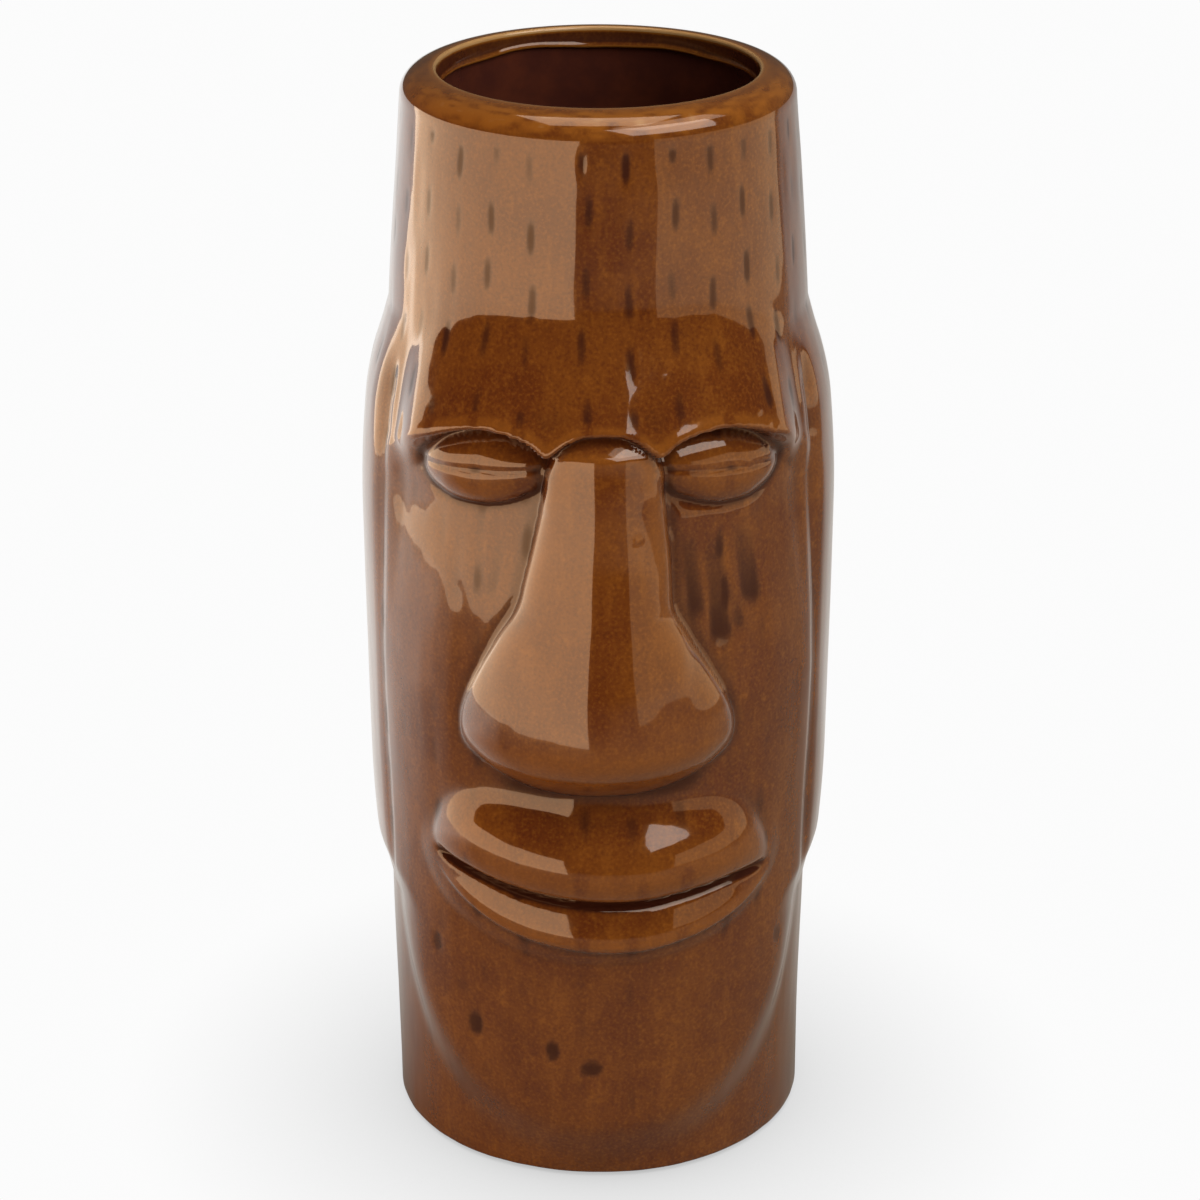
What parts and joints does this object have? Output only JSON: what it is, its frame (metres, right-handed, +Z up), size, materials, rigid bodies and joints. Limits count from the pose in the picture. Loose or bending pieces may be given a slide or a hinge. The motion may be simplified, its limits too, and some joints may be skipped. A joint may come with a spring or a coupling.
{
  "type": "tiki mug",
  "caption": "Tall glazed ceramic tiki mug in the form of a long-eared stone head, open at the top, with a flat foot ring.",
  "frame": {"origin": "on the surface the mug stands on, at the middle of the box around the mug, 6.2 mm in front of the cup's own axis", "axes": "+Z up along the cup's axis, -Y the way the face looks, +X to the right as one faces it"},
  "size_m": [0.0768, 0.0828, 0.18],
  "materials": {
    "bare_clay": "unglazed fired clay, matt",
    "brown_glaze": "glossy translucent brown glaze, amber on edges and purple-brown where it pools",
    "liner_glaze": "glossy very dark brown glaze",
    "base_glaze": "glossy brown glaze"
  },
  "bodies": {
    "root": {"clay_body": "bare_clay", "exterior_glaze": "brown_glaze", "liner_glaze": "liner_glaze", "base_glaze": "base_glaze"}
  },
  "joints": []
}
